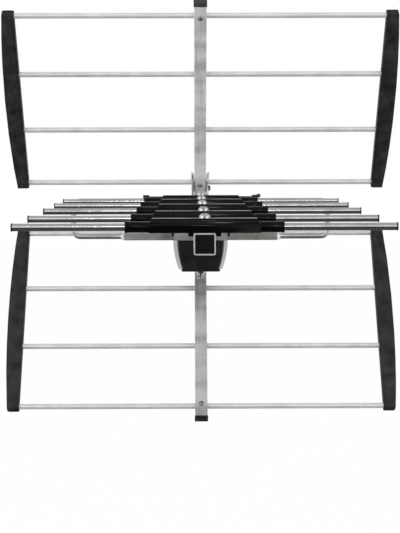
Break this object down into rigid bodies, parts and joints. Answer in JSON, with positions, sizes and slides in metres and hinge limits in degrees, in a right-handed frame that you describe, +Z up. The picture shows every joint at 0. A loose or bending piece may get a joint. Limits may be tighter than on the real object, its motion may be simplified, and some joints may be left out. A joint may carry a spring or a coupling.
{
  "type": "outdoor television antenna",
  "caption": "Outdoor UHF antenna: square boom, twin-rod directors, folded dipole over a black matching box, a corner reflector of rods and a mast clamp.",
  "frame": {"origin": "on the mast's axis at the height of the boom's axis, in the middle of the clamp jaw's seat", "axes": "+Z up along the mast, -Y along the boom towards the directors, +X from the boom towards the mast"},
  "size_m": [0.518, 0.852, 0.5484],
  "materials": {
    "aluminium_tube": "satin",
    "gloss_black": "gloss",
    "matte_black": "matte",
    "light_grey": "satin",
    "board_green": "satin",
    "plated_plate": "satin",
    "nickel": "polished",
    "zinc_steel": "satin"
  },
  "bodies": {
    "root": {"boom": "aluminium_tube", "boom_front_plug": "matte_black", "boom_rear_plug": "matte_black", "director_holder_1": "gloss_black", "director_holder_2": "gloss_black", "director_holder_3": "gloss_black", "director_holder_4": "gloss_black", "director_holder_5": "gloss_black", "director_1_rod_left": "aluminium_tube", "director_1_rod_right": "aluminium_tube", "director_2_rod_left": "aluminium_tube", "director_2_rod_right": "aluminium_tube", "director_3_rod_left": "aluminium_tube", "director_3_rod_right": "aluminium_tube", "director_4_rod_left": "aluminium_tube", "director_4_rod_right": "aluminium_tube", "director_5_rod_left": "aluminium_tube", "director_5_rod_right": "aluminium_tube", "director_tip_caps": "matte_black", "holder_screws": "zinc_steel", "dipole_loop": "aluminium_tube", "dipole_clips": "matte_black", "box_base": "gloss_black", "box_cover": "gloss_black", "terminal_cover": "light_grey", "terminal_screws": "zinc_steel", "balun_board": "board_green", "coax_socket": "nickel", "coax_socket_nut": "nickel", "box_screw": "zinc_steel", "upper_panel_tube": "aluminium_tube", "upper_tube_cap": "matte_black", "upper_rod_1": "aluminium_tube", "upper_rod_2": "aluminium_tube", "upper_rod_3": "aluminium_tube", "upper_rod_4": "aluminium_tube", "upper_strip_left": "matte_black", "upper_strip_right": "matte_black", "lower_panel_tube": "aluminium_tube", "lower_tube_cap": "matte_black", "lower_rod_1": "aluminium_tube", "lower_rod_2": "aluminium_tube", "lower_rod_3": "aluminium_tube", "lower_rod_4": "aluminium_tube", "lower_strip_left": "matte_black", "lower_strip_right": "matte_black", "rod_rivets": "zinc_steel", "bracket_plate_left": "plated_plate", "bracket_plate_right": "plated_plate", "bracket_bolts": "zinc_steel", "bracket_nuts": "zinc_steel", "fork_spacers": "zinc_steel", "mast_jaw": "plated_plate", "mast_backing_plate": "plated_plate", "mast_u_bolt": "zinc_steel", "mast_washers": "zinc_steel", "mast_wing_nuts": "zinc_steel"}
  },
  "joints": []
}
